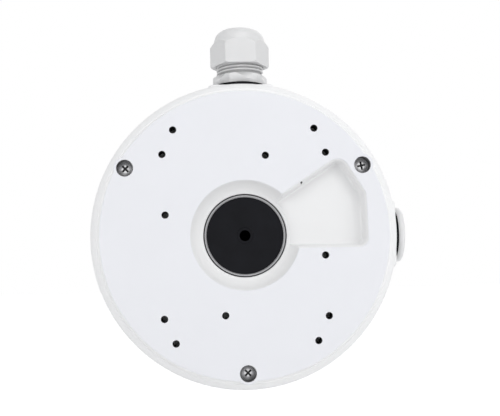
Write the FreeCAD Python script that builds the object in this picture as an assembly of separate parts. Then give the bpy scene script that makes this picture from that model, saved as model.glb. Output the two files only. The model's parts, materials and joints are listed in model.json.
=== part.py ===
import FreeCAD, Part
import math
import os

# Round junction box for a ceiling or wall camera, die cast in two halves, with a cable gland on top
# and a blanking plug on the right. Millimetres. The wall plane is y = 0 and the origin is its centre,
# the camera face looks along -Y, the gland points up along +Z and the plug along +X.
# A height is measured from the wall towards the camera, and a depth from the camera face inwards.

V = FreeCAD.Vector

# Clearances
gap = 0.3
thread_clearance = 0.05
thread_chamfer = 0.5
seal_clearance = 0.1

# Box as a whole
box_depth = 53.4
body_r = 68.5
body_draft = 0.1
back_edge = 1.0
cover_height = 14.0

# Rear housing
side_wall = 3.5
housing_floor = 3.2
back_recess = 0.8
back_rim_width = 4.5
inner_corner = 3.0
inner_draft = 0.5
floor_rib_width = 2.0
floor_rib_height = 2.0

# Seal between the halves
seal_groove_width = 1.5
seal_groove_depth = 1.2
seal_groove_inset = 1.0

# Front cover
face_wall = 3.0
plateau_inset = 4.6
plateau_step = 2.4
plateau_edge = 1.2
plateau_ledge = 1.0
shoulder_bulge = 1.0
skirt_top_depth = 12.5
cover_rib_width = 2.0
cover_rib_depth = 6.0
cover_rib_angles = (115, 200, 240, 300)

# Dish round the cable hole, and the hole itself
dish_r = 24.2
dish_edge = 0.5
dish_depth = 5.0
dish_hollow = 0.7
hole_mouth_r = 18.7
hole_r = 18.45
hole_chamfer = 0.3
hole_lip_r = 16.4
hole_lip = 1.5
hole_floor_depth = 8.1
hole_wall = 3.0

# Pocket for the camera's plugs: corner x, corner z and corner radius, anticlockwise from the lower left
pocket_depth = 6.2
pocket_draft_deg = 10.0
pocket_edge = 0.9
pocket_floor_r = 1.0
pocket_wall = 2.4
pocket_bottom_z = -5.3
pocket_right_x = 53.3
pocket_shoulder = (52.6, 17.4)
pocket_apex = (42.3, 33.9)
pocket_top_slope_deg = 33.2
pocket_apex_r = 4.6
pocket_corner_r = 3.2
collar_r = 20.0
nick_place = (25.0, 22.6)
nick_length = 1.5
nick_width = 0.6
nick_depth = 1.2

# Camera screw holes: a square, an upright rectangle and a circle of four
pilot_r = 1.6
pilot_depth = 8.0
pilot_boss_r = 3.5
pilot_boss_floor = 1.2
square_pitch = 71.5
rectangle_x = 61.8
rectangle_z = 92.8
circle_r = 36.0
circle_first_deg = 75.0

# Cover screws, held captive by a ring under the cover
screw_inset = 8.5
screw_names = ("right", "left", "bottom")
screw_first_deg = 30.0
screw_r = 2.0
screw_hole_r = 2.3
screw_head_r = 3.0
screw_head_height = 2.4
screw_head_crown = 0.8
screw_cross_length = 3.6
screw_cross_width = 0.9
screw_cross_depth = 1.5
screw_cross_turns_deg = (12.0, 45.0, 45.0)
screw_thread_length = 4.6
screw_point = 0.6
counterbore_r = 3.7
counterbore_depth = 5.6
screw_web = 1.8
retainer_r = 3.4
retainer_height = 1.0
cover_boss_r = 6.2
face_boss_r = 5.0
face_boss_edge = 0.6
post_r = 5.6
tapped_extra = 2.0

# Wall screws through the floor
wall_screw_circle_r = 49.0
wall_screw_count = 4
wall_screw_first_deg = 45.0
wall_screw_hole_r = 2.5
wall_boss_r = 6.0
wall_boss_height = 3.3

# Rubber grommet and the bare metal ring that holds it in the cover
grommet_flange = 1.2
grommet_disc_depth = 5.9
grommet_disc = 1.7
grommet_disc_r = 16.9
grommet_neck = 1.3
pinhole_r = 2.45
pinhole_rim = 1.0
pinhole_dimple = 0.25
ring_inner_r = 17.0
ring_play = 0.5
ring_top_depth = 5.2
ring_chamfer = 0.35

# Rubber plug in the rear cable hole
rear_hole_r = 13.0
rear_flange_r = 15.0
rear_flange = 0.6
rear_lip = 1.4
rear_web = 1.4
rear_dimple_r = 4.0

# Ports on the side wall, both tapped for the same thread
port_thread_r = 10.0
port_wall = 3.0
port_boss_inset = 4.0
pad_proud = 0.9
pad_side = 2.0
pad_below_rim = 0.4
pad_corner = 3.0
pad_edge = 0.4

# Cable gland
washer_thickness = 1.7
washer_r = 11.7
flange_across_flats = 22.4
flange_thickness = 4.3
flange_chamfer = 0.6
flange_turn_deg = 6.0
hexagon_corner = 0.8
entry_length = 9.4
entry_bore_r = 7.0
neck_r = 10.95
neck_length = 11.0
mouth_r = 8.3
mouth_play = 1.0
cap_lift = 4.6
cap_tighten = 3.6
cap_across_flats = 24.2
cap_hex_height = 10.4
cap_height = 17.3
cap_chamfer = 1.1
cap_dome_r = 11.6
cap_dome_base = 13.6
cap_dome_mid = (9.9, 16.1)
cap_opening_r = 6.2
cap_lip_r = 7.0
cap_foot_chamfer = 0.7
cap_thread_spare = 0.5
claw_r = 8.0
claw_wall = 0.9
claw_foot = 0.6
claw_lip = 0.6
claw_slot_foot = 4.0
claw_count = 10
claw_slot = 0.9
claw_head_r = 9.2
claw_head_flat = 0.5
claw_tip_r = 7.7
claw_cone = 2.0
seal_bore_r = 5.2
seal_height = 11.2
seal_bead = 0.5

# Blanking plug
plug_head_r = 12.75
plug_head = 2.8
plug_edge = 1.2
plug_shank = 9.0
plug_wall = 2.6
plug_slot_length = 16.0
plug_slot_width = 2.2
plug_slot_depth = 1.5

# Worked out from the sizes above
rim_height = box_depth - cover_height
inner_r = body_r - side_wall
plateau_r = body_r - plateau_inset
shoulder_r = plateau_r + plateau_ledge
screw_circle_r = body_r - screw_inset
port_bore_r = port_thread_r + thread_clearance
port_boss_r = port_thread_r + port_wall
port_height = rim_height - pad_below_rim - port_boss_r
port_inner = inner_r - port_boss_inset
pad_plane = body_r + pad_proud
flange_base = pad_plane + washer_thickness
neck_base = flange_base + flange_thickness
neck_top = neck_base + neck_length
cap_base = neck_base + cap_lift
claw_base = cap_base + claw_foot
claw_neck_top = neck_top + cap_tighten + gap
claw_head_base = claw_neck_top + claw_head_r - claw_r
claw_head_top = claw_head_base + claw_head_flat
claw_top = claw_head_top + claw_cone
screw_seat_height = box_depth - counterbore_depth
retainer_base = rim_height + gap
rear_rib_start = rear_flange_r + gap


class Axis:
    """A straight line that pieces are turned about: its start, its direction and one across it."""

    def __init__(self, start, along, across):
        self.start = start
        self.along = along
        self.across = across

    def point(self, radius, distance):
        return self.start + self.across * radius + self.along * distance


box_axis = Axis(V(0, 0, 0), V(0, -1, 0), V(1, 0, 0))
gland_axis = Axis(V(0, -port_height, 0), V(0, 0, 1), V(1, 0, 0))
plug_axis = Axis(V(0, -port_height, 0), V(1, 0, 0), V(0, 0, 1))


def outline(start, steps, place):
    """Closed wire. A pair is the next corner, a pair of pairs an arc through the first to the second."""
    edges = []
    here = start
    for step in list(steps) + [start]:
        if isinstance(step[0], tuple):
            through, there = step
            edges.append(Part.Arc(place(*here), place(*through), place(*there)).toShape())
        else:
            there = step
            edges.append(Part.makeLine(place(*here), place(*there)))
        here = there
    return Part.Wire(edges)


def turned(axis, start, *steps):
    """Solid of revolution from an outline of (radius, distance along the axis)."""
    wire = outline(start, steps, axis.point)
    return Part.Face(wire).revolve(axis.start, axis.along, 360)


def rod(axis, radius, low, high):
    return Part.makeCylinder(radius, high - low, axis.point(0, low), axis.along)


def tube(axis, inner, outer, low, high):
    return turned(axis, (inner, low), (outer, low), (outer, high), (inner, high))


def edges_along(solid, axis):
    return [e for e in solid.Edges if abs(e.tangentAt(e.FirstParameter).dot(axis.along)) > 0.99]


def hexagon(axis, across_flats, low, high, turn_deg=0.0):
    corner_r = across_flats / 2 / math.cos(math.pi / 6)
    side = axis.along.cross(axis.across)
    corners = []
    for i in range(6):
        a = math.radians(60 * i + turn_deg)
        spoke = axis.across * math.cos(a) + side * math.sin(a)
        corners.append(axis.point(0, low) + spoke * corner_r)
    prism = Part.Face(Part.makePolygon(corners + corners[:1])).extrude(axis.along * (high - low))
    return prism.makeFillet(hexagon_corner, edges_along(prism, axis))


def parallel_axis(x, z):
    """A line at right angles to the wall, through the point (x, z)."""
    return Axis(V(x, 0, z), box_axis.along, box_axis.across)


def on_circle(radius, angle_deg):
    a = math.radians(angle_deg)
    return radius * math.cos(a), radius * math.sin(a)


def block(x_low, x_high, height_low, height_high, z_low, z_high):
    corner = V(x_low, -height_high, z_low)
    return Part.makeBox(x_high - x_low, height_high - height_low, z_high - z_low, corner)


def radial_rib(inner, outer, width, low, high, angle_deg):
    """Upright rib that runs outwards from the box's centre line."""
    rib = block(inner, outer, low, high, -width / 2, width / 2)
    rib.rotate(V(0, 0, 0), V(0, -1, 0), angle_deg)
    return rib


def moved_corners(corners, inset):
    """Corners of a convex anticlockwise outline whose sides are all moved inwards."""
    count = len(corners)
    sides = []
    for i in range(count):
        x0, z0 = corners[i][:2]
        x1, z1 = corners[(i + 1) % count][:2]
        length = math.hypot(x1 - x0, z1 - z0)
        ux, uz = (x1 - x0) / length, (z1 - z0) / length
        sides.append((x0 - uz * inset, z0 + ux * inset, ux, uz))
    moved = []
    for i in range(count):
        ax, az, aux, auz = sides[i - 1]
        bx, bz, bux, buz = sides[i]
        along = ((bx - ax) * buz - (bz - az) * bux) / (aux * buz - auz * bux)
        moved.append((ax + aux * along, az + auz * along, max(corners[i][2] - inset, gap)))
    return moved


def rounded_wire(corners, inset, height):
    """Outline with rounded corners at one height, its sides moved inwards by the inset."""
    moved = moved_corners(corners, inset)
    count = len(moved)
    starts, mids, ends = [], [], []
    for i in range(count):
        x, z, radius = moved[i]
        here = V(x, -height, z)
        to_last = (V(moved[i - 1][0], -height, moved[i - 1][1]) - here).normalize()
        ahead = moved[(i + 1) % count]
        to_next = (V(ahead[0], -height, ahead[1]) - here).normalize()
        half = to_last.getAngle(to_next) / 2
        middle = (to_last + to_next).normalize()
        starts.append(here + to_last * (radius / math.tan(half)))
        ends.append(here + to_next * (radius / math.tan(half)))
        mids.append(here + middle * (radius / math.sin(half) - radius))
    edges = []
    for i in range(count):
        edges.append(Part.Arc(starts[i], mids[i], ends[i]).toShape())
        edges.append(Part.makeLine(ends[i], starts[(i + 1) % count]))
    return Part.Wire(edges)


def lofted(corners, levels):
    """Solid through the outline at each (inset, height)."""
    wires = [rounded_wire(corners, inset, height) for inset, height in levels]
    return Part.makeLoft(wires, True, True)


def screw_axes():
    step = 360 / len(screw_names)
    axes = {}
    for i, name in enumerate(screw_names):
        axes[name] = parallel_axis(*on_circle(screw_circle_r, screw_first_deg + step * i))
    return axes


def wall_screw_angles():
    return [wall_screw_first_deg + 360 / wall_screw_count * i for i in range(wall_screw_count)]


def pilot_places():
    """Where the twelve camera screw holes stand on the face."""
    places = []
    for half_x, half_z in ((square_pitch / 2, square_pitch / 2), (rectangle_x / 2, rectangle_z / 2)):
        places += [(sx * half_x, sz * half_z) for sx in (-1, 1) for sz in (-1, 1)]
    places += [on_circle(circle_r, circle_first_deg + 90 * i) for i in range(4)]
    return places


# Rear housing
def port_pad(axis):
    """Flat pad on the round wall for a gland or plug, with a round boss inside for its thread."""
    base = inner_r - side_wall
    points = []
    for side, level in ((-1, -1), (1, -1), (1, 1), (-1, 1)):
        corner = axis.point(side * (port_boss_r + pad_side), base)
        points.append(corner + box_axis.along * (level * port_boss_r))
    pad = Part.Face(Part.makePolygon(points + points[:1])).extrude(axis.along * (pad_plane - base))
    pad = pad.makeFillet(pad_corner, edges_along(pad, axis))
    top = max(pad.Faces, key=lambda face: face.CenterOfMass.dot(axis.along))
    pad = pad.makeChamfer(pad_edge, top.Edges)
    return pad.fuse(rod(axis, port_boss_r, port_inner, pad_plane - pad_edge))


def rear_housing():
    foot_r = inner_r - inner_draft
    cup = turned(
        box_axis,
        (0, back_recess),
        (body_r - back_rim_width, back_recess),
        (body_r - back_rim_width, 0),
        (body_r - back_edge, 0),
        (body_r, back_edge),
        (body_r - body_draft, rim_height),
        (inner_r, rim_height),
        (foot_r, housing_floor + inner_corner),
        (foot_r - inner_corner, housing_floor),
        (0, housing_floor),
    )
    root = housing_floor / 2
    inside = [rod(axis, post_r, root, rim_height) for axis in screw_axes().values()]
    for angle in wall_screw_angles():
        axis = parallel_axis(*on_circle(wall_screw_circle_r, angle))
        inside.append(rod(axis, wall_boss_r, root, housing_floor + wall_boss_height))
        rib_top = housing_floor + floor_rib_height
        inside.append(radial_rib(rear_rib_start, foot_r, floor_rib_width, root, rib_top, angle))
    inside = inside[0].fuse(inside[1:]).common(rod(box_axis, body_r - side_wall / 2, 0, rim_height))
    pads = port_pad(gland_axis).fuse(port_pad(plug_axis)).common(rod(box_axis, body_r * 2, 0, rim_height))
    body = cup.fuse([pads, inside])
    cuts = [rod(axis, port_bore_r, 0, pad_plane + gap) for axis in (gland_axis, plug_axis)]
    tapped_base = rim_height - screw_thread_length - screw_point - tapped_extra
    for axis in screw_axes().values():
        cuts.append(rod(axis, screw_r + thread_clearance, tapped_base, rim_height + gap))
    for angle in wall_screw_angles():
        axis = parallel_axis(*on_circle(wall_screw_circle_r, angle))
        cuts.append(rod(axis, wall_screw_hole_r, 0, box_depth))
    cuts.append(rod(box_axis, rear_hole_r, 0, housing_floor + gap))
    groove_outer = body_r - body_draft - seal_groove_inset
    groove_base = rim_height - seal_groove_depth
    cuts.append(tube(box_axis, groove_outer - seal_groove_width, groove_outer, groove_base, rim_height + gap))
    return body.cut(cuts).removeSplitter()


def cover_seal():
    outer = body_r - body_draft - seal_groove_inset - seal_clearance
    inner = outer - seal_groove_width + 2 * seal_clearance
    return tube(box_axis, inner, outer, rim_height - seal_groove_depth, rim_height)


# Front cover
def dish_point(radius):
    """Depth of the hollow dish at a radius, on the arc from its edge to the mouth of the hole."""
    share = (dish_r - dish_edge - radius) / (dish_r - dish_edge - hole_mouth_r)
    return dish_edge + (dish_depth - dish_edge) * share + dish_hollow * 4 * share * (1 - share)


def pocket_corners():
    slope = math.tan(math.radians(pocket_top_slope_deg))
    apex_x, apex_z = pocket_apex
    start_x = collar_r * 0.6
    start_z = apex_z - (apex_x - start_x) * slope
    return [
        (collar_r * 0.9, pocket_bottom_z, pocket_edge + gap),
        (pocket_right_x, pocket_bottom_z, pocket_corner_r),
        (*pocket_shoulder, pocket_corner_r),
        (apex_x, apex_z, pocket_apex_r),
        (start_x, start_z, pocket_edge + gap),
    ]


def pocket_cutter():
    corners = pocket_corners()
    draft = math.tan(math.radians(pocket_draft_deg))
    floor = box_depth - pocket_depth
    foot_inset = draft * (pocket_depth - pocket_edge)
    hollow = lofted(corners, [(0, box_depth - pocket_edge), (foot_inset, floor)])
    bottom = min(hollow.Faces, key=lambda f: -f.CenterOfMass.y)
    hollow = hollow.makeFillet(pocket_floor_r, bottom.Edges)
    flare = lofted(corners, [(-pocket_edge - gap, box_depth + gap), (0, box_depth - pocket_edge)])
    collar = turned(
        box_axis,
        (0, floor - gap),
        (collar_r, floor - gap),
        (collar_r, box_depth - dish_point(collar_r)),
        (0, box_depth - dish_depth),
    )
    return hollow.fuse(flare).cut(collar)


def cover_shell():
    """Round cover before its holes: face, raised plateau, flared shoulder, skirt, dish and cable hole."""
    top = box_depth
    edge = top - plateau_edge * 0.29
    middle_r = (dish_r - dish_edge + hole_mouth_r) / 2
    under_face = top - face_wall
    inner_edge_r = inner_r - inner_corner
    mid_depth = (plateau_step + skirt_top_depth) / 2
    shoulder_mid = ((shoulder_r + body_r) / 2 + shoulder_bulge, top - mid_depth + shoulder_bulge)
    return turned(
        box_axis,
        (hole_r, top - dish_depth - hole_chamfer),
        (hole_mouth_r, top - dish_depth),
        ((middle_r, top - dish_point(middle_r)), (dish_r - dish_edge, top - dish_edge)),
        (dish_r, top),
        (plateau_r - plateau_edge, top),
        ((plateau_r - plateau_edge * 0.29, edge), (plateau_r, top - plateau_edge)),
        (plateau_r, top - plateau_step),
        (shoulder_r, top - plateau_step),
        (shoulder_mid, (body_r - body_draft, top - skirt_top_depth)),
        (body_r - body_draft, rim_height),
        (inner_r, rim_height),
        (inner_r - inner_draft, under_face - inner_corner),
        (inner_edge_r - inner_draft, under_face),
        (dish_r + hole_wall, under_face),
        (hole_r + hole_wall, top - hole_floor_depth),
        (hole_r + hole_wall, top - hole_floor_depth - hole_lip),
        (hole_lip_r, top - hole_floor_depth - hole_lip),
        (hole_lip_r, top - hole_floor_depth),
        (hole_r, top - hole_floor_depth),
    )


def face_boss(axis):
    """Round boss for a cover screw that stands out past the edge of the plateau, level with the face."""
    top = box_depth
    root = top - plateau_step - plateau_edge
    rim_r = face_boss_r - face_boss_edge
    middle = face_boss_edge * 0.29
    return turned(
        axis,
        (0, root),
        (face_boss_r, root),
        (face_boss_r, top - face_boss_edge),
        ((face_boss_r - middle, top - middle), (rim_r, top)),
        (0, top),
    )


def front_cover():
    top = box_depth
    under_face = top - face_wall
    root = top - face_wall / 2
    middle_r = hole_r + hole_wall / 2
    shell = cover_shell()
    added = [
        lofted(pocket_corners(), [(-pocket_wall, root), (-pocket_wall, top - pocket_depth - pocket_wall)])
    ]
    boss_base = top - pilot_depth - pilot_boss_floor
    for place in pilot_places():
        added.append(rod(parallel_axis(*place), pilot_boss_r, boss_base, root))
    for axis in screw_axes().values():
        added.append(rod(axis, cover_boss_r, rim_height, root))
    for angle in cover_rib_angles:
        added.append(
            radial_rib(middle_r, inner_r - inner_corner, cover_rib_width,
                       top - cover_rib_depth, under_face + gap, angle)
        )
    within = turned(
        box_axis,
        (middle_r, rim_height),
        (inner_r + side_wall / 2, rim_height),
        (inner_r + side_wall / 2, top - skirt_top_depth),
        (plateau_r, top - plateau_step),
        (plateau_r - plateau_edge, root),
        (dish_r + hole_wall / 2, root),
        (middle_r, top - (dish_depth + hole_floor_depth) / 2),
    )
    inside = added[0].fuse(added[1:]).common(within)
    body = shell.fuse([inside] + [face_boss(axis) for axis in screw_axes().values()])
    cuts = [pocket_cutter()]
    for place in pilot_places():
        cuts.append(rod(parallel_axis(*place), pilot_r, top - pilot_depth, top + gap))
    for axis in screw_axes().values():
        cuts.append(rod(axis, screw_hole_r, rim_height, top))
        cuts.append(rod(axis, counterbore_r, screw_seat_height, top + gap))
        cuts.append(rod(axis, retainer_r + gap, rim_height - gap, screw_seat_height - screw_web))
    half = nick_width / 2
    nick = block(-nick_length / 2, nick_length / 2, top - nick_depth, top + gap, -half, half)
    nick.rotate(V(0, 0, 0), V(0, -1, 0), pocket_top_slope_deg)
    nick.translate(V(nick_place[0], 0, nick_place[1]))
    cuts.append(nick)
    return body.cut(cuts).removeSplitter()


# Cover screws
def cover_screw(axis, turn_deg):
    """Pan head screw with a crowned top, a cross recess and a pointed end."""
    seat = screw_seat_height
    crown = seat + screw_head_height
    edge = crown - screw_head_crown
    tip = rim_height - screw_thread_length
    body = turned(
        axis,
        (0, tip - screw_point),
        (screw_r - screw_point, tip - screw_point),
        (screw_r, tip),
        (screw_r, seat),
        (screw_head_r, seat),
        (screw_head_r, edge),
        ((screw_head_r * 0.66, crown - screw_head_crown * 0.3), (0, crown)),
    )
    base = crown - screw_cross_depth
    arms = []
    for turn in (turn_deg, turn_deg + 90):
        arm = block(-screw_cross_length / 2, screw_cross_length / 2, base, crown + gap,
                    -screw_cross_width / 2, screw_cross_width / 2)
        arm.rotate(V(0, 0, 0), V(0, -1, 0), turn)
        arm.translate(axis.start)
        arms.append(arm)
    return body.cut(arms)


def screw_retainer(axis):
    inner = screw_r + thread_clearance
    return tube(axis, inner, retainer_r, retainer_base, retainer_base + retainer_height)


# Cable hole in the cover
def cable_grommet():
    """Rubber disc with a thick rim, a pin hole in the middle and a neck through the lip of the hole."""
    top = box_depth
    seat = top - hole_floor_depth
    neck_r = hole_lip_r - seal_clearance
    disc_top = top - grommet_disc_depth
    disc_base = disc_top - grommet_disc
    rim_r = pinhole_r + pinhole_rim
    return turned(
        box_axis,
        (pinhole_r, disc_base),
        (pinhole_r, disc_top - pinhole_dimple),
        (rim_r, disc_top - pinhole_dimple),
        (rim_r + pinhole_dimple, disc_top),
        (grommet_disc_r, disc_top),
        (grommet_disc_r, seat + grommet_flange),
        (hole_r - seal_clearance, seat + grommet_flange),
        (hole_r - seal_clearance, seat),
        (neck_r, seat),
        (neck_r, seat - grommet_neck),
        (neck_r - grommet_neck, seat - grommet_neck),
        (neck_r - grommet_neck, disc_base),
    )


def grommet_ring():
    base = box_depth - hole_floor_depth + grommet_flange
    high = box_depth - ring_top_depth
    outer = hole_r - ring_play
    return turned(
        box_axis,
        (ring_inner_r, base),
        (outer, base),
        (outer, high - ring_chamfer / 2),
        (outer - ring_chamfer / 2, high),
        (ring_inner_r + ring_chamfer, high),
        (ring_inner_r, high - ring_chamfer),
    )


def rear_grommet():
    """Rubber plug that grips the edge of the rear cable hole and lies just behind the wall plane."""
    neck = rear_hole_r - seal_clearance
    web_top = back_recess + rear_web
    return turned(
        box_axis,
        (0, back_recess),
        (rear_dimple_r, back_recess),
        (rear_dimple_r + gap, back_recess - rear_flange),
        (rear_flange_r, back_recess - rear_flange),
        (rear_flange_r, back_recess),
        (neck, back_recess),
        (neck, housing_floor),
        (neck + rear_lip / 2, housing_floor),
        (neck, housing_floor + rear_lip),
        (neck - rear_lip, housing_floor + rear_lip),
        (neck - rear_lip, web_top),
        (0, web_top),
    )


# Cable gland
def port_washer(axis):
    return tube(axis, port_thread_r + seal_clearance, washer_r, pad_plane, flange_base)


def gland_body():
    """Hexagon flange with a threaded entry below, and a threaded neck above whose mouth takes the claws."""
    axis = gland_axis
    corner_r = flange_across_flats / 2 / math.cos(math.pi / 6)
    chamfered = turned(
        axis,
        (0, flange_base),
        (corner_r, flange_base),
        (corner_r, neck_base - flange_chamfer),
        (corner_r - 2 * flange_chamfer, neck_base),
        (0, neck_base),
    )
    flange = hexagon(axis, flange_across_flats, flange_base, neck_base, flange_turn_deg).common(chamfered)
    entry_base = flange_base - entry_length
    mouth_base = claw_base - cap_tighten - mouth_play
    stem = turned(
        axis,
        (0, entry_base),
        (port_thread_r - thread_chamfer, entry_base),
        (port_thread_r, entry_base + thread_chamfer),
        (port_thread_r, neck_base),
        (neck_r, neck_base),
        (neck_r, neck_top - thread_chamfer),
        (neck_r - thread_chamfer, neck_top),
        (0, neck_top),
    )
    bore = turned(
        axis,
        (0, entry_base - gap),
        (entry_bore_r, entry_base - gap),
        (entry_bore_r, mouth_base - thread_chamfer),
        (mouth_r, mouth_base),
        (mouth_r, neck_top + gap),
        (0, neck_top + gap),
    )
    return flange.fuse(stem).cut(bore).removeSplitter()


def gland_claw():
    """Basket of springy fingers on a ring, with a lip at its foot that carries the seal."""
    axis = gland_axis
    inner = claw_r - claw_wall
    basket = turned(
        axis,
        (inner - claw_lip, claw_base),
        (claw_r, claw_base),
        (claw_r, claw_neck_top),
        (claw_head_r, claw_head_base),
        (claw_head_r, claw_head_top),
        (claw_tip_r, claw_top),
        (inner, claw_top),
        (inner, claw_base + claw_lip),
        (inner - claw_lip, claw_base + claw_lip),
    )
    foot = claw_base + claw_slot_foot
    slots = []
    for i in range(claw_count):
        slot = Part.makeBox(claw_head_r * 2, claw_slot, claw_top, V(0, -claw_slot / 2, foot))
        slot.rotate(V(0, 0, 0), V(0, 0, 1), 360 / claw_count * i)
        slot.translate(axis.start)
        slots.append(slot)
    return basket.cut(slots)


def gland_seal():
    """Rubber sleeve inside the claws, with a flare at each end of its bore."""
    base = claw_base + claw_lip
    high = base + seal_height
    outer = claw_r - claw_wall - seal_clearance
    return turned(
        gland_axis,
        (seal_bore_r, base + seal_bead),
        (seal_bore_r + seal_bead, base),
        (outer, base),
        (outer, high),
        (seal_bore_r + seal_bead, high),
        (seal_bore_r, high - seal_bead),
    )


def gland_cap():
    """Hexagon nut with a domed top, a round opening for the cable, and a cone inside for the claws."""
    axis = gland_axis
    corner_r = cap_across_flats / 2 / math.cos(math.pi / 6)
    flat_r = cap_across_flats / 2
    shoulder = cap_base + cap_hex_height
    high = cap_base + cap_height
    thread_r = neck_r + thread_clearance
    turned_form = turned(
        axis,
        (0, cap_base),
        (corner_r - cap_foot_chamfer, cap_base),
        (corner_r, cap_base + cap_foot_chamfer),
        (corner_r, shoulder - cap_chamfer),
        (flat_r, shoulder + cap_chamfer),
        (cap_dome_r, cap_base + cap_dome_base),
        ((cap_dome_mid[0], cap_base + cap_dome_mid[1]), (cap_lip_r, high)),
        (0, high),
    )
    hex_form = hexagon(axis, cap_across_flats, cap_base, high)
    bore = turned(
        axis,
        (0, cap_base - gap),
        (thread_r + gap, cap_base - gap),
        (thread_r, cap_base + gap),
        (thread_r, neck_top + cap_tighten + cap_thread_spare),
        (claw_head_r + 2 * gap, claw_head_top),
        (claw_tip_r + 2 * gap, claw_top + gap),
        (cap_opening_r, claw_top + gap),
        (cap_opening_r, high - gap),
        (cap_opening_r + gap * 2, high + gap),
        (0, high + gap),
    )
    return turned_form.common(hex_form).cut(bore).removeSplitter()


# Blanking plug
def side_plug():
    """Round head with a coin slot, and a hollow threaded shank."""
    axis = plug_axis
    high = flange_base + plug_head
    shank_end = flange_base - plug_shank
    shank_r = port_thread_r
    body = turned(
        axis,
        (0, flange_base),
        (shank_r - plug_wall, flange_base),
        (shank_r - plug_wall, shank_end),
        (shank_r, shank_end),
        (shank_r, flange_base),
        (plug_head_r, flange_base),
        (plug_head_r, high - plug_edge),
        ((plug_head_r - plug_edge * 0.29, high - plug_edge * 0.29), (plug_head_r - plug_edge, high)),
        (0, high),
    )
    slot = Part.makeBox(
        plug_slot_depth + gap, plug_slot_width, plug_slot_length,
        V(high - plug_slot_depth, -port_height - plug_slot_width / 2, -plug_slot_length / 2)
    )
    return body.cut(slot)


def build():
    pieces = {
        "rear_housing": rear_housing(),
        "cover_seal": cover_seal(),
        "front_cover": front_cover(),
        "cable_grommet": cable_grommet(),
        "grommet_ring": grommet_ring(),
        "rear_grommet": rear_grommet(),
        "gland_washer": port_washer(gland_axis),
        "gland_body": gland_body(),
        "gland_claw": gland_claw(),
        "gland_seal": gland_seal(),
        "gland_cap": gland_cap(),
        "side_plug_washer": port_washer(plug_axis),
        "side_plug": side_plug(),
    }
    for (name, axis), turn_deg in zip(screw_axes().items(), screw_cross_turns_deg):
        pieces["cover_screw_" + name] = cover_screw(axis, turn_deg)
        pieces["screw_retainer_" + name] = screw_retainer(axis)
    return pieces


os.makedirs("parts", exist_ok=True)
for name, piece in build().items():
    solid = piece.Solids[0] if len(piece.Solids) == 1 else piece
    solid.exportStep("parts/" + name + ".step")
    print(name, len(piece.Solids), "solid", piece.isValid(), round(piece.Volume / 1000, 2), "cm3")
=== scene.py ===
# %% [markdown]
# # A round junction box for a camera
# The object is a die-cast aluminium box with a white powder coat. A camera is screwed to its face, and
# its cable goes through the rubber disc in the middle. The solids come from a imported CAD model, the
# frame, in metres, with +Z up and the face looking along -Y. This file adds the finishes, the screw
# threads that the CAD model leaves smooth, the light and the camera.

# %% Load the frame
import json
import math

import bmesh
import bpy
from mathutils import Matrix, Vector


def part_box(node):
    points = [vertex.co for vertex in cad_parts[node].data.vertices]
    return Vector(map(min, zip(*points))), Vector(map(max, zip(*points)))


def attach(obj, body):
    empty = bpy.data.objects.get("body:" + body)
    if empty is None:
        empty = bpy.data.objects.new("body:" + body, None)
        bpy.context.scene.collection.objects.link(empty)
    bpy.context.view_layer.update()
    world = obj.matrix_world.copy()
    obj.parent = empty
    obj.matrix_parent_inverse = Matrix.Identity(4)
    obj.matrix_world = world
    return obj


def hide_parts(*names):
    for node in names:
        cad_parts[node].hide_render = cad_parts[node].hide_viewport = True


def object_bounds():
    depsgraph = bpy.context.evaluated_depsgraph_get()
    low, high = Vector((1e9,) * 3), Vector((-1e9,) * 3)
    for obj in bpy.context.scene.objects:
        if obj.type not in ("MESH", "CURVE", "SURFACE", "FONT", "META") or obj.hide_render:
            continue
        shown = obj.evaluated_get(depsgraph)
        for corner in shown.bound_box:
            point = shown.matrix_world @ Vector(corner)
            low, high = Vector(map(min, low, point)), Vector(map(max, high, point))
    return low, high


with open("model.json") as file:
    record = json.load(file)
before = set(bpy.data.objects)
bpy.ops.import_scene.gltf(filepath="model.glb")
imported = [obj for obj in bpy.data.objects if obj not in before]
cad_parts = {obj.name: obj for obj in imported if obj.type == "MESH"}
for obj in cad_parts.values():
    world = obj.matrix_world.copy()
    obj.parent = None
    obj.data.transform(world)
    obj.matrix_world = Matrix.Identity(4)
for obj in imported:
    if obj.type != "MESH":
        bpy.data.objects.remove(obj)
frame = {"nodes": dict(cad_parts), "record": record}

MM = 0.001
bpy.context.scene.view_settings.view_transform = "Standard"
cad_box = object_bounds()
size = [round((high - low) / MM, 1) for low, high in zip(*cad_box)]
print("CAD nodes:", len(frame["nodes"]), "overall size in mm:", size)

# %% [markdown]
# ## The camera
# The photograph was taken almost square to the face, from about 35 cm away, a little from the left and
# from below. Near views show more perspective than far ones: the gland stands 27 mm behind the face and
# looks slightly smaller for it. The turn of the camera was found by matching the screw holes, and it is
# kept as three small angles. The small shift moves the picture on the film without turning the camera,
# because the box isn't in the middle of the photograph.

# %% Make the camera
PHOTO_WIDTH = 500
FOCAL_PIXELS = 805
SHIFT_PIXELS = (5, 28)
DISTANCE = 350 * MM
FACE_Y = -53.4 * MM

tilt = Matrix.Rotation(math.radians(-2.1318), 3, "X")
turn = Matrix.Rotation(math.radians(2.5113), 3, "Y")
roll = Matrix.Rotation(math.radians(1.0532), 3, "Z")
seen = roll @ turn @ tilt
upright = Matrix.Rotation(math.radians(90), 3, "X")
aim = Vector((0.281 * MM, 0.391 * MM, 0))

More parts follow.
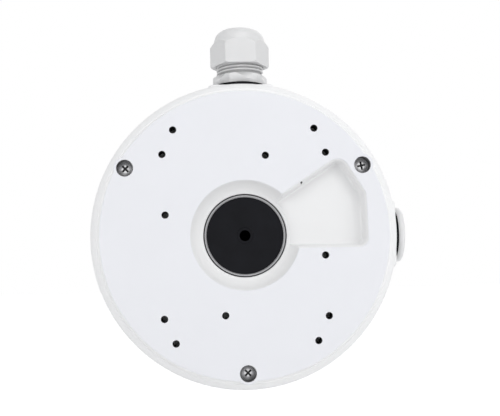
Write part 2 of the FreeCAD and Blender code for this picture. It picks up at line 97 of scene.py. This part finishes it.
camera_data = bpy.data.cameras.new("photo_camera")
camera = bpy.data.objects.new("photo_camera", camera_data)
bpy.context.collection.objects.link(camera)
bpy.context.scene.camera = camera
camera_data.lens = FOCAL_PIXELS / PHOTO_WIDTH * camera_data.sensor_width
camera_data.shift_x = SHIFT_PIXELS[0] / PHOTO_WIDTH
camera_data.shift_y = SHIFT_PIXELS[1] / PHOTO_WIDTH
camera_data.clip_start = 0.01
place = upright @ seen.transposed() @ (Vector((0, 0, DISTANCE)) - aim) + Vector((0, FACE_Y, 0))
camera.matrix_world = Matrix.LocRotScale(place, (upright @ seen.transposed()).to_quaternion(), None)
print("camera at", [round(v / MM) for v in place], "mm, lens", round(camera_data.lens, 1), "mm")

# %% [markdown]
# ## Floor and world
# The photograph's background is pure white. Brighter lamps would wash out the white box, so the white
# comes from the floor's and the world's own colour, and only for rays that the camera, a reflection or a
# clear material sends. For the light that falls on the box, the world stays soft and modest. The floor
# keeps its shading, so it still receives the box's soft shadow.

# %% Make the world and the floor
def seen_ray(nodes, links):
    """One where a ray comes from the camera, a mirror or a clear material, else zero."""
    path = nodes.new("ShaderNodeLightPath")
    total = None
    for output in ("Is Camera Ray", "Is Glossy Ray", "Is Transmission Ray"):
        if total is None:
            total = path.outputs[output]
            continue
        adder = nodes.new("ShaderNodeMath")
        adder.operation = "ADD"
        adder.use_clamp = True
        links.new(total, adder.inputs[0])
        links.new(path.outputs[output], adder.inputs[1])
        total = adder.outputs["Value"]
    return total


AMBIENT = 0.53
FLOOR_LIFT = 0.52
FLOOR_Z = -118 * MM
FLOOR_HALF = 3.0

world = bpy.data.worlds.new("studio")
bpy.context.scene.world = world
world.use_nodes = True
nodes, links = world.node_tree.nodes, world.node_tree.links
nodes.clear()
output = nodes.new("ShaderNodeOutputWorld")
mix = nodes.new("ShaderNodeMixShader")
soft = nodes.new("ShaderNodeBackground")
soft.inputs["Color"].default_value = (0.97, 0.98, 1.0, 1)
soft.inputs["Strength"].default_value = AMBIENT
white = nodes.new("ShaderNodeBackground")
white.inputs["Color"].default_value = (1, 1, 1, 1)
white.inputs["Strength"].default_value = 1.0
links.new(seen_ray(nodes, links), mix.inputs["Fac"])
links.new(soft.outputs["Background"], mix.inputs[1])
links.new(white.outputs["Background"], mix.inputs[2])
links.new(mix.outputs["Shader"], output.inputs["Surface"])

floor_mesh = bpy.data.meshes.new("studio_floor")
bm = bmesh.new()
bmesh.ops.create_grid(bm, x_segments=1, y_segments=1, size=FLOOR_HALF)
bmesh.ops.translate(bm, verts=bm.verts, vec=(0, 0, FLOOR_Z))
bm.to_mesh(floor_mesh)
bm.free()
studio_floor = bpy.data.objects.new("studio_floor", floor_mesh)
bpy.context.collection.objects.link(studio_floor)

floor_material = bpy.data.materials.new("studio_floor")
floor_material.use_nodes = True
nodes, links = floor_material.node_tree.nodes, floor_material.node_tree.links
paper = nodes["Principled BSDF"]
paper.inputs["Base Color"].default_value = (0.94, 0.94, 0.94, 1)
paper.inputs["Roughness"].default_value = 0.9
paper.inputs["Emission Color"].default_value = (1, 1, 1, 1)
lift = nodes.new("ShaderNodeMath")
lift.operation = "MULTIPLY"
lift.inputs[1].default_value = FLOOR_LIFT
links.new(seen_ray(nodes, links), lift.inputs[0])
links.new(lift.outputs["Value"], paper.inputs["Emission Strength"])
floor_mesh.materials.append(floor_material)
print("floor", round(-FLOOR_Z / MM), "mm under the box's middle, ambient light", AMBIENT)

# %% [markdown]
# ## Lamps
# A product photograph of a white part needs just enough shape in its light. Three large soft lamps hang
# in front: the strongest on the right, so that the pocket is darkest along its right wall, a weaker one
# on the left, which keeps the rim on that side open, and one above. A fourth lights the back. Large
# lamps give soft shadow edges.

# %% Hang the lamps
MIDDLE = Vector((0, -30 * MM, 0))


def lamp(name, place, size, power):
    """Square soft lamp that looks at the box's middle."""
    data = bpy.data.lights.new(name, "AREA")
    data.size = size
    data.energy = power
    hung = bpy.data.objects.new(name, data)
    bpy.context.collection.objects.link(hung)
    place = Vector(place)
    hung.matrix_world = Matrix.LocRotScale(place, (MIDDLE - place).to_track_quat("-Z", "Y"), None)
    print("lamp", name, power, "W")


lamp("right", (0.95, -0.85, 0.1), 0.7, 4.6)
lamp("left", (-0.95, -0.85, 0.0), 0.7, 4.0)
lamp("top", (0.12, -0.85, 0.93), 0.7, 3.5)
lamp("back", (0.5, 1.1, 1.0), 0.8, 2.2)

# %% [markdown]
# ## Powder coat
# Powder coat is paint that was sprayed on as dust and melted. It is slightly pebbled, like very fine
# orange peel, and it is satin rather than glossy. A noise texture on Object coordinates makes the
# pebbles, through a Bump node, and a second, slower noise moves the colour by one or two parts in a
# hundred, so that wide faces aren't dead flat. Object coordinates are in metres, so a scale of 1600
# gives pebbles of about half a millimetre. The one coat is tinted in three places: the face is cool,
# what is cut into it is a little darker as painted shade, and the rim is lighter as painted light. The
# small nick beside the pocket is painted dark below the face, as painted shade deep in it.

# %% Make the powder coat
def new_material(name, colour, roughness, metallic=0.0):
    """Principled material and its node tree's parts."""
    material = bpy.data.materials.new(name)
    material.use_nodes = True
    nodes, links = material.node_tree.nodes, material.node_tree.links
    shader = nodes["Principled BSDF"]
    shader.inputs["Base Color"].default_value = (*colour, 1)
    shader.inputs["Roughness"].default_value = roughness
    shader.inputs["Metallic"].default_value = metallic
    return material, nodes, links, shader


def noise(nodes, links, scale, detail=2.0):
    """Noise on Object coordinates."""
    place = nodes.new("ShaderNodeTexCoord")
    texture = nodes.new("ShaderNodeTexNoise")
    texture.inputs["Scale"].default_value = scale
    texture.inputs["Detail"].default_value = detail
    links.new(place.outputs["Object"], texture.inputs["Vector"])
    return texture.outputs["Fac"]


def vary_colour(nodes, links, shader, value, low, high):
    """The base colour runs from low to high with the value."""
    ramp = nodes.new("ShaderNodeValToRGB")
    ramp.color_ramp.elements[0].position = 0.3
    ramp.color_ramp.elements[0].color = (*low, 1)
    ramp.color_ramp.elements[1].position = 0.7
    ramp.color_ramp.elements[1].color = (*high, 1)
    links.new(value, ramp.inputs["Fac"])
    links.new(ramp.outputs["Color"], shader.inputs["Base Color"])


def raise_grain(nodes, links, shader, value, depth, strength):
    """Bump of a depth in metres on the shader's normal."""
    bump = nodes.new("ShaderNodeBump")
    bump.inputs["Distance"].default_value = depth
    bump.inputs["Strength"].default_value = strength
    links.new(value, bump.inputs["Height"])
    links.new(bump.outputs["Normal"], shader.inputs["Normal"])


def soft_step(nodes, links, value, edge, softness):
    """Zero under the edge, one over it, and soft between."""
    step = nodes.new("ShaderNodeMapRange")
    step.inputs["From Min"].default_value = edge - softness
    step.inputs["From Max"].default_value = edge + softness
    links.new(value, step.inputs["Value"])
    return step.outputs["Result"]


def behind(nodes, links, edge, softness):
    """One behind a plane square to Y, zero in front of it."""
    place = nodes.new("ShaderNodeTexCoord")
    parts = nodes.new("ShaderNodeSeparateXYZ")
    links.new(place.outputs["Object"], parts.inputs["Vector"])
    return soft_step(nodes, links, parts.outputs["Y"], edge, softness)


def away_from(nodes, links, centre, across, edge, softness):
    """One where a point is further than the edge from an axis. Across has zero for the axis's direction."""
    place = nodes.new("ShaderNodeTexCoord")
    offset = nodes.new("ShaderNodeVectorMath")
    offset.operation = "SUBTRACT"
    offset.inputs[1].default_value = centre
    links.new(place.outputs["Object"], offset.inputs[0])
    flat = nodes.new("ShaderNodeVectorMath")
    flat.operation = "MULTIPLY"
    flat.inputs[1].default_value = across
    links.new(offset.outputs["Vector"], flat.inputs[0])
    reach = nodes.new("ShaderNodeVectorMath")
    reach.operation = "LENGTH"
    links.new(flat.outputs["Vector"], reach.inputs[0])
    return soft_step(nodes, links, reach.outputs["Value"], edge, softness)


def mix_colours(nodes, links, value, low, high, method="MIX"):
    """Colour that goes from low to high with the value. Low and high are colours or sockets."""
    mixer = nodes.new("ShaderNodeMix")
    mixer.data_type = "RGBA"
    mixer.blend_type = method
    if value is None:
        mixer.inputs["Factor"].default_value = 1.0
    else:
        links.new(value, mixer.inputs["Factor"])
    for socket, colour in ((mixer.inputs["A"], low), (mixer.inputs["B"], high)):
        if isinstance(colour, tuple):
            socket.default_value = (*colour, 1)
        else:
            links.new(colour, socket)
    return mixer.outputs["Result"]


PLATEAU_R = 62 * MM
FACE_EDGE_Y = FACE_Y + 0.2 * MM
ALONG_Y = (1, 0, 1)


def powder_coat(name, face_colour, recess_painted_shade, rim_painted_light):
    """Pebbled coat tinted apart for the face, the recesses and the rim; the recess tint is painted shade,
    the rim's painted light.
    """
    material, nodes, links, shader = new_material(name, rim_painted_light, 0.55)
    shader.inputs["Specular IOR Level"].default_value = 0.28
    outside = away_from(nodes, links, (0, 0, 0), ALONG_Y, PLATEAU_R, 1.5 * MM)
    below = mix_colours(nodes, links, outside, recess_painted_shade, rim_painted_light)
    under_face = behind(nodes, links, FACE_EDGE_Y, 0.1 * MM)
    tint = mix_colours(nodes, links, under_face, face_colour, below)
    cloud = mix_colours(nodes, links, noise(nodes, links, 45, 3), (0.97, 0.97, 0.97), (1, 1, 1))
    coat = mix_colours(nodes, links, None, tint, cloud, "MULTIPLY")
    links.new(coat, shader.inputs["Base Color"])
    raise_grain(nodes, links, shader, noise(nodes, links, 1600, 3), 0.05 * MM, 0.35)
    return material


# Painted light and shade: the rims' lighter tints and the recesses' darker tints stand for how light falls
# on one coat.
COOL, RECESS_PAINTED_SHADE, RIM_PAINTED_LIGHT = (0.81, 0.816, 0.846), (0.82, 0.82, 0.82), (0.92, 0.92, 0.92)
BACK, HOUSING_PAINTED_LIGHT = (0.88, 0.88, 0.88), (0.9, 0.9, 0.9)
finishes = {"cover": powder_coat("powder_coat_cover", COOL, RECESS_PAINTED_SHADE, RIM_PAINTED_LIGHT),
            "housing": powder_coat("powder_coat_housing", HOUSING_PAINTED_LIGHT, BACK, HOUSING_PAINTED_LIGHT)}

# Painted shade: the nick is coloured nearly black where it lies below the face.
NICK = (25.0 * MM, 0, 22.6 * MM)
NICK_R = 0.5 * MM
NICK_PAINTED_SHADE = (0.05, 0.05, 0.05)
nodes, links = finishes["cover"].node_tree.nodes, finishes["cover"].node_tree.links
shader = nodes["Principled BSDF"]
coat = shader.inputs["Base Color"].links[0].from_socket
around_nick = away_from(nodes, links, NICK, ALONG_Y, NICK_R, 0.1 * MM)
nick_shaded = mix_colours(nodes, links, around_nick, NICK_PAINTED_SHADE, coat)
under_face = behind(nodes, links, FACE_Y + 0.15 * MM, 0.1 * MM)
links.new(mix_colours(nodes, links, under_face, coat, nick_shaded), shader.inputs["Base Color"])
print("made", sorted(finishes))

# %% [markdown]
# ## Rubber
# Moulded rubber is nearly black and scatters light widely. Real black rubber is never pure black: it
# picks up dust and a faint haze at grazing angles. A slow noise changes the colour slightly, and a fine
# one gives the mould's sandblasted skin.

# %% Make the rubber
def rubber(name, colour):
    """Dull, nearly black rubber."""
    material, nodes, links, shader = new_material(name, colour, 0.62)
    shader.inputs["Specular IOR Level"].default_value = 0.11
    hazy = tuple(c * 1.5 for c in colour)
    vary_colour(nodes, links, shader, noise(nodes, links, 120, 4), colour, hazy)
    raise_grain(nodes, links, shader, noise(nodes, links, 2600, 2), 0.03 * MM, 0.3)
    return material


for name in ("grommet", "rear_rubber", "washer", "gland_rubber"):
    finishes[name] = rubber("rubber_" + name, (0.0045, 0.0047, 0.0062))
finishes["seal"] = rubber("rubber_seal", (0.05, 0.05, 0.055))
print("made", sorted(finishes))

# %% [markdown]
# ## Nylon
# The gland and the plug are moulded in light grey nylon. Nylon lets a little light in under its skin,
# so its shadows look soft. A small amount of subsurface scattering does that. The mould leaves a satin
# skin with a very fine grain. The gland's colour turns darker near the neck's axis, as painted shade in
# the groove of the neck's thread.

# %% Make the nylon
def nylon(name, grey):
    """Satin nylon of a neutral grey."""
    colour = (grey, grey, grey)
    material, nodes, links, shader = new_material(name, colour, 0.42)
    shader.inputs["Subsurface Weight"].default_value = 0.08
    shader.inputs["Subsurface Radius"].default_value = (1.0, 1.0, 1.0)
    shader.inputs["Subsurface Scale"].default_value = 0.6 * MM
    dull = tuple(c * 0.96 for c in colour)
    vary_colour(nodes, links, shader, noise(nodes, links, 90, 3), dull, colour)
    raise_grain(nodes, links, shader, noise(nodes, links, 2400, 2), 0.02 * MM, 0.25)
    return material


for name, grey in {"gland": 0.74, "cap": 0.72, "claw": 0.72, "plug": 0.8}.items():
    finishes[name] = nylon("nylon_" + name, grey)

washer_low, washer_high = (Vector(corner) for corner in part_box("gland_washer"))
PORT_Y = (washer_low.y + washer_high.y) / 2
NECK_R = 10.95 * MM
NECK_GROOVE = 1.05 * MM
ALONG_Z = (1, 1, 0)
# Painted shade: the gland is coloured darker inside the crest of the neck's thread, nearer its axis.
GROOVE_PAINTED_SHADE = (0.5, 0.5, 0.5)
nodes, links = finishes["gland"].node_tree.nodes, finishes["gland"].node_tree.links
shader = nodes["Principled BSDF"]
unshaded_nylon = shader.inputs["Base Color"].links[0].from_socket
crest = away_from(nodes, links, (0, PORT_Y, 0), ALONG_Z, NECK_R - NECK_GROOVE / 2, NECK_GROOVE / 3)
links.new(mix_colours(nodes, links, crest, GROOVE_PAINTED_SHADE, unshaded_nylon), shader.inputs["Base Color"])
print("made", sorted(finishes))

# %% [markdown]
# ## Bare metal
# The screws are plain steel and the ring round the grommet is turned aluminium. Turning leaves fine
# rings about the axis. A Wave texture of rings about Y, with some distortion, gives them, and it moves
# the roughness as well as the bump, because grooves blur a reflection in bands. Each screw's colour turns
# dark under its crown, but only near its own axis and above its seat: painted shade in the cross of its
# head. That takes one material for each screw.

# %% Make the metals
def turned_metal(name, colour, roughness, rings):
    """Metal with fine turning marks in rings about Y."""
    material, nodes, links, shader = new_material(name, colour, roughness, 1.0)
    place = nodes.new("ShaderNodeTexCoord")
    wave = nodes.new("ShaderNodeTexWave")
    wave.wave_type = "RINGS"
    wave.rings_direction = "Y"
    wave.inputs["Scale"].default_value = rings
    wave.inputs["Distortion"].default_value = 0.6
    wave.inputs["Detail"].default_value = 2
    links.new(place.outputs["Object"], wave.inputs["Vector"])
    spread = nodes.new("ShaderNodeMapRange")
    spread.inputs["To Min"].default_value = roughness - 0.05
    spread.inputs["To Max"].default_value = roughness + 0.07
    links.new(wave.outputs["Fac"], spread.inputs["Value"])
    links.new(spread.outputs["Result"], shader.inputs["Roughness"])
    raise_grain(nodes, links, shader, wave.outputs["Fac"], 0.01 * MM, 0.3)
    return material


finishes["ring"] = turned_metal("turned_aluminium", (0.38, 0.38, 0.39), 0.3, 900)
finishes["retainer"] = turned_metal("ring_steel", (0.4, 0.4, 0.41), 0.36, 700)
# Painted shade: the thread linings' nearly black colour stands for the shade deep in the holes.
finishes["bare_thread"] = turned_metal("cut_aluminium_in_painted_shade", (0.07, 0.07, 0.072), 0.45, 1400)
# Painted shade: the counterbore linings' dark grey stands for the shade round the screws' heads.
finishes["bore_wall"] = turned_metal("aluminium_in_painted_shade", (0.28, 0.28, 0.285), 0.4, 1100)

SCREW_CIRCLE_R = 60 * MM
SCREW_ANGLES = {"cover_screw_right": 30, "cover_screw_left": 150, "cover_screw_bottom": 270}
CROWN_Y = FACE_Y + 4.05 * MM
SEAT_Y = FACE_Y + 5.6 * MM
CROSS_R = 2.2 * MM
STEEL, CROSS_PAINTED_SHADE = (0.6, 0.6, 0.61), (0.03, 0.03, 0.031)


def screw_axis(name):
    """Point on a cover screw's axis, in the plane through the box's middle."""
    angle = math.radians(SCREW_ANGLES[name])
    return Vector((SCREW_CIRCLE_R * math.cos(angle), 0, SCREW_CIRCLE_R * math.sin(angle)))


for name in SCREW_ANGLES:
    steel = turned_metal("steel_" + name, STEEL, 0.3, 700)
    nodes, links = steel.node_tree.nodes, steel.node_tree.links
    # Painted shade: nearly black in the cross recess, behind the crown and near the screw's axis.
    under_crown = behind(nodes, links, CROWN_Y, 0.12 * MM)
    under_seat = behind(nodes, links, SEAT_Y - 0.5 * MM, 0.1 * MM)
    outside = away_from(nodes, links, screw_axis(name), ALONG_Y, CROSS_R, 0.1 * MM)
    colour = mix_colours(nodes, links, under_crown, STEEL, CROSS_PAINTED_SHADE)
    colour = mix_colours(nodes, links, under_seat, colour, STEEL)
    colour = mix_colours(nodes, links, outside, colour, STEEL)
    links.new(colour, nodes["Principled BSDF"].inputs["Base Color"])
    finishes[name] = steel
print("made", sorted(finishes))

# %% [markdown]
# ## Dress the CAD nodes
# Each CAD node keeps its shape and gets the finish of its slot in the record. A screw has its own.

# %% Give each node its finish
slots = {part["node"]: part["material_slot"] for part in frame["record"]["subparts"]}
for name, node in frame["nodes"].items():
    node.data.materials.clear()
    node.data.materials.append(finishes[name if name in SCREW_ANGLES else slots[name]])
print("dressed", len(slots), "nodes")

# %% [markdown]
# ## Screw threads
# A screw thread is one ridge that climbs round its shank. A tower of separate rings would look alike
# from the side, but it would end in flat rings, and a real thread runs out at an end. So one face with
# the ridge's cross-section is enough: the spin operator sweeps it round the axis, and its dvec moves each
# step a little along, so the ridge climbs by one pitch in a turn. The swept shell is closed, and its
# normals are set outwards once, because a spin can leave them pointing in.

# %% Wind a thread
STEPS_A_TURN = 40


def wind_thread(bm, start, axis, across, section, pitch, turns):
    """Sweep a cross-section, given as corners of (radius, height), round and along an axis."""
    old_faces = set(bm.faces)
    corners = [bm.verts.new(start + across * radius + axis * height) for radius, height in section]
    bmesh.ops.spin(bm, geom=[bm.faces.new(corners)], cent=start, axis=axis, angle=math.tau * turns,
                   steps=round(STEPS_A_TURN * turns), dvec=axis * (pitch / STEPS_A_TURN),
                   use_duplicate=False)
    ridge = [face for face in bm.faces if face not in old_faces]
    bmesh.ops.recalc_face_normals(bm, faces=ridge)


def ridge_section(root, crest, pitch):
    """Trapezoid whose foot lies a little under the root, so that the ridge grows out of its shank."""
    foot = root - (crest - root) * 0.2
    return [(foot, -pitch * 0.44), (crest, -pitch * 0.1), (crest, pitch * 0.1), (foot, pitch * 0.44)]


print("a thread's step is", 360 // STEPS_A_TURN, "degrees")

# %% [markdown]
# ## The threaded gland body and plug
# The CAD model leaves the neck of the gland and the shank of the plug smooth, at the thread's outer size.
# Each is copied here, the copy's doubled vertices are merged, and its shank is scaled about its own axis
# down to the thread's root. Then a ridge is wound on it up to the old size, so nothing grows. Each
# stands for its CAD node, which stays in the motion model for contacts.

# %% Thread the gland's neck and the plug's shank
def finish_piece(name, bm, finish, body, stands_for=None):
    """Turn a bmesh into an object that rides on a body, shaded smooth up to its sharp edges."""
    mesh = bpy.data.meshes.new(name)
    bm.to_mesh(mesh)
    bm.free()
    for polygon in mesh.polygons:
        polygon.use_smooth = True
    mesh.set_sharp_from_angle(angle=math.radians(32))
    mesh.materials.append(finish)
    piece = bpy.data.objects.new(name, mesh)
    bpy.context.collection.objects.link(piece)
    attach(piece, body)
    if stands_for:
        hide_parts(stands_for)
    print(name, len(mesh.polygons), "faces on", body)


def threaded_copy(node, start, axis, across, root, crest, length, pitch):
    """Copy of a CAD node with a thread from start along the axis."""
    bm = bmesh.new()
    bm.from_mesh(frame["nodes"][node].data)
    bmesh.ops.remove_doubles(bm, verts=bm.verts, dist=0.001 * MM)
    near = 0.01 * MM
    shank = []
    for vert in bm.verts:
        height = (vert.co - start).dot(axis)
        radius = ((vert.co - start) - axis * height).length
        if -near < height < length + near and crest - 0.6 * MM < radius < crest + near:
            shank.append(vert)
    ratio = root / crest
    thin = [1 if abs(part) > 0.5 else ratio for part in axis]
    bmesh.ops.scale(bm, vec=thin, space=Matrix.Translation(-start), verts=shank)
    turns = math.floor((length - 1.4 * pitch) / pitch * 4) / 4
    first = start + axis * pitch * 0.5
    wind_thread(bm, first, axis, across, ridge_section(root, crest, pitch), pitch, turns)
    print(node, "shank vertices", len(shank), "turns", turns)
    return bm


PITCH = 1.5 * MM
X, Y, Z = Vector((1, 0, 0)), Vector((0, 1, 0)), Vector((0, 0, 1))
NECK_LENGTH = 11 * MM
neck_start = Vector((0, PORT_Y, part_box("gland_body")[1][2] - NECK_LENGTH))
bm = threaded_copy("gland_body", neck_start, Z, X, NECK_R - NECK_GROOVE, NECK_R, NECK_LENGTH, PITCH)
finish_piece("gland_body_threaded", bm, finishes["gland"], "box", "gland_body")

SHANK_R = 10 * MM
SHANK_LENGTH = 9 * MM
shank_start = Vector((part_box("side_plug")[0][0], PORT_Y, 0))
bm = threaded_copy("side_plug", shank_start, X, Z, SHANK_R - 0.7 * MM, SHANK_R, SHANK_LENGTH, PITCH)
finish_piece("side_plug_threaded", bm, finishes["plug"], "plug", "side_plug")

# %% [markdown]
# ## Tapped camera holes
# The twelve blind holes in the face are tapped after the powder coat, so their walls are bare aluminium
# with a fine thread, coloured nearly black as painted shade deep in the holes. A thin sleeve is spun
# from a small rectangle with use_merge, which joins the last step to the first. One ridge is wound inside
# it, and the pair is copied to the other holes.

# %% Line the holes with threads
def spin_lining(bm, middle, outline, steps):
    """Spin a closed outline, given as corners of (radius, y), about an axis along Y."""
    corners = [bm.verts.new(middle + X * radius + Y * y) for radius, y in outline]
    loop = [bm.edges.new((corners[i - 1], corner)) for i, corner in enumerate(corners)]
    bmesh.ops.spin(bm, geom=corners + loop, cent=middle, axis=Y, angle=math.tau, steps=steps,
                   use_merge=True, use_duplicate=False)
    bmesh.ops.recalc_face_normals(bm, faces=bm.faces)


HOLE_R = 1.6 * MM
HOLE_DEPTH = 8 * MM
SLEEVE_TOP = FACE_Y + 0.35 * MM
M4_PITCH = 0.7 * MM
M4_TURNS = 9
SQUARE_HALF = 35.75 * MM
RECTANGLE_HALF = (30.9 * MM, 46.4 * MM)
CIRCLE_R = 36 * MM
CIRCLE_FIRST = math.radians(75)

signs = [(sx, sz) for sx in (-1, 1) for sz in (-1, 1)]
places = [(sx * SQUARE_HALF, sz * SQUARE_HALF) for sx, sz in signs]
places += [(sx * RECTANGLE_HALF[0], sz * RECTANGLE_HALF[1]) for sx, sz in signs]
for quarter in range(4):
    angle = CIRCLE_FIRST + quarter * math.tau / 4
    places.append((CIRCLE_R * math.cos(angle), CIRCLE_R * math.sin(angle)))

bm = bmesh.new()
outer, inner, crest = HOLE_R - 0.02 * MM, HOLE_R - 0.1 * MM, HOLE_R - 0.27 * MM
first = Vector((places[0][0], SLEEVE_TOP, places[0][1]))
depth = HOLE_DEPTH - 0.45 * MM
spin_lining(bm, first, [(inner, 0), (outer, 0), (outer, depth), (inner, depth)], 32)
foot = inner + 0.03 * MM
section = [(foot, -M4_PITCH * 0.42), (crest, -M4_PITCH * 0.08), (crest, M4_PITCH * 0.08),
           (foot, M4_PITCH * 0.42)]
wind_thread(bm, first + Y * M4_PITCH * 0.6, Y, X, section, M4_PITCH, M4_TURNS)
one_hole = bm.verts[:] + bm.edges[:] + bm.faces[:]
for x, z in places[1:]:
    copied = bmesh.ops.duplicate(bm, geom=one_hole)["geom"]
    moved = [part for part in copied if isinstance(part, bmesh.types.BMVert)]
    bmesh.ops.translate(bm, verts=moved, vec=(x - first.x, 0, z - first.z))
finish_piece("pilot_threads", bm, finishes["bare_thread"], "box")

# %% [markdown]
# ## Machined counterbores
# The seats of the cover screws are cut after the powder coat too, so the wall and the floor of each
# counterbore are bare metal, coloured dark grey as painted shade round each screw's head. An L-shaped
# section, spun about the screw's axis, makes a thin wall and a thin floor in one closed skin, and it stays
# clear of the screw's head.

# %% Line the counterbores
BORE_R = 3.7 * MM
HEAD_R = 3.0 * MM
SKIN = 0.06 * MM
wall, floor, top = BORE_R - 0.01 * MM, SEAT_Y - 0.01 * MM, FACE_Y + 0.3 * MM
hole = HEAD_R + 0.05 * MM
outline = [(wall - SKIN, top), (wall, top), (wall, floor), (hole, floor), (hole, floor - SKIN),
           (wall - SKIN, floor - SKIN)]
bm = bmesh.new()
for name in SCREW_ANGLES:
    spin_lining(bm, screw_axis(name), outline, 48)
finish_piece("counterbore_walls", bm, finishes["bore_wall"], "box")
